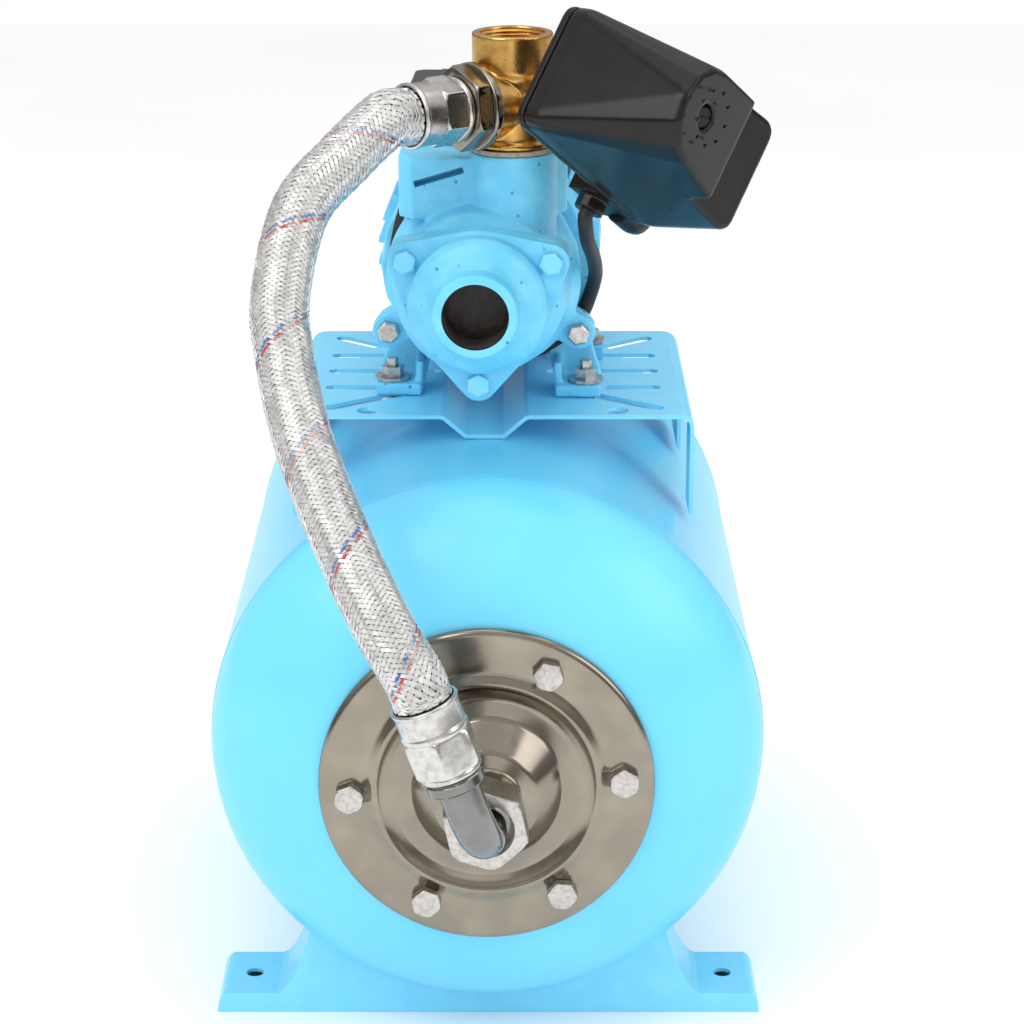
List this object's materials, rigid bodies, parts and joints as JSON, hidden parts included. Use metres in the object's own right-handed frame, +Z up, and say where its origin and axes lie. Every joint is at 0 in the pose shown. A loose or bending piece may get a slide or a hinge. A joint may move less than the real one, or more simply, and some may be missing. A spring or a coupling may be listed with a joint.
{
  "type": "booster pump set",
  "caption": "Peripheral pump on a horizontal pressure tank with braided hose, brass fitting, gauge and pressure switch.",
  "frame": {"origin": "middle of the set's footprint on the floor, cords left out", "axes": "+Z up, -Y towards the tank's flange and the suction port, +X to the right seen from there"},
  "size_m": [0.275, 0.5153, 0.5056],
  "materials": {
    "black_plastic": "black moulded plastic",
    "brass": "satin forged brass",
    "bright_zinc_steel": "bright zinc plate",
    "ceramic": "ground ceramic",
    "chrome": "polished chrome",
    "clear_lens": "clear lens",
    "copper_windings": "enamelled copper",
    "fibre_seal": "fibre gasket",
    "moulded_black_plastic": "satin black moulded plastic",
    "needle_paint": "red paint",
    "nickel_plate": "satin nickel plate",
    "rubber": "black rubber",
    "sky_blue_paint": "gloss sky-blue enamel",
    "steel": "plain steel",
    "steel_braid": "stainless braid",
    "yellow_zinc_steel": "yellow zinc plate"
  },
  "bodies": {
    "base": {"air_valve": "brass", "bearing_front": "steel", "bearing_rear": "steel", "bracket_bolt_1": "sky_blue_paint", "bracket_bolt_2": "sky_blue_paint", "cover_bolt_1": "sky_blue_paint", "cover_bolt_2": "sky_blue_paint", "cover_bolt_3": "sky_blue_paint", "elbow": "chrome", "elbow_nut": "steel", "end_shield": "sky_blue_paint", "fan_cover": "sky_blue_paint", "five_way": "brass", "flange_bolt_1": "yellow_zinc_steel", "flange_bolt_2": "yellow_zinc_steel", "flange_bolt_3": "yellow_zinc_steel", "flange_bolt_4": "yellow_zinc_steel", "flange_bolt_5": "yellow_zinc_steel", "flange_bolt_6": "yellow_zinc_steel", "foot_front": "sky_blue_paint", "foot_rear": "sky_blue_paint", "gauge_case": "black_plastic", "gauge_lens": "clear_lens", "hose": "steel_braid", "hose_adapter": "yellow_zinc_steel", "lower_ferrule": "nickel_plate", "membrane": "rubber", "motor_bracket": "sky_blue_paint", "motor_housing": "sky_blue_paint", "motor_lead": "rubber", "outlet_seal": "fibre_seal", "pump_casing": "sky_blue_paint", "pump_fixing_1": "bright_zinc_steel", "pump_fixing_2": "bright_zinc_steel", "pump_fixing_3": "bright_zinc_steel", "pump_fixing_4": "bright_zinc_steel", "pump_platform": "sky_blue_paint", "range_screw": "steel", "range_spring": "steel", "seal_seat": "ceramic", "stator": "copper_windings", "suction_cover": "sky_blue_paint", "switch_base": "moulded_black_plastic", "switch_nipple": "bright_zinc_steel", "tank_flange": "yellow_zinc_steel", "tank_shell": "sky_blue_paint", "terminal_box": "black_plastic", "terminal_lid": "black_plastic", "upper_nut": "nickel_plate"},
    "rotor": {"shaft": "steel", "impeller": "brass", "seal_head": "black_plastic", "rotor_core": "steel", "fan": "black_plastic"},
    "gauge_hand": {"gauge_needle": "needle_paint"},
    "lever": {"switch_lever": "bright_zinc_steel"},
    "cover": {"switch_cover": "moulded_black_plastic"},
    "captive_screw": {"cover_screw": "bright_zinc_steel"},
    "valve_cap": {"air_valve_cap": "black_plastic"}
  },
  "joints": [
    {"name": "rotor_spin", "type": "hinge", "parent": "base", "child": "rotor", "pos_m": [-0.0016, -0.01411, 0.3603], "axis": [-0.0419, -0.9991, 0], "continuous": true},
    {"name": "gauge_swing", "type": "hinge", "parent": "base", "child": "gauge_hand", "pos_m": [0.04689, -0.00507, 0.4513], "axis": [-0.7071, -0.7071, 0], "range_deg": [0, 270]},
    {"name": "lever_rock", "type": "hinge", "parent": "base", "child": "lever", "pos_m": [0.06705, -0.06961, 0.43812], "axis": [0.4236, 0.4236, 0.8007], "range_deg": [-2, 2], "stiffness_Nm_per_rad": 0.5},
    {"name": "cover_lift", "type": "slide", "parent": "base", "child": "cover", "axis": [0.7071, -0.7071, 0], "range_m": [0, 0.1]},
    {"name": "cover_screw_turn", "type": "hinge", "parent": "cover", "child": "captive_screw", "pos_m": [0.09878, -0.15117, 0.46448], "axis": [0.7071, -0.7071, 0], "continuous": true},
    {"name": "valve_cap_pull", "type": "slide", "parent": "base", "child": "valve_cap", "axis": [0, 1, 0], "range_m": [0, 0.012]}
  ]
}
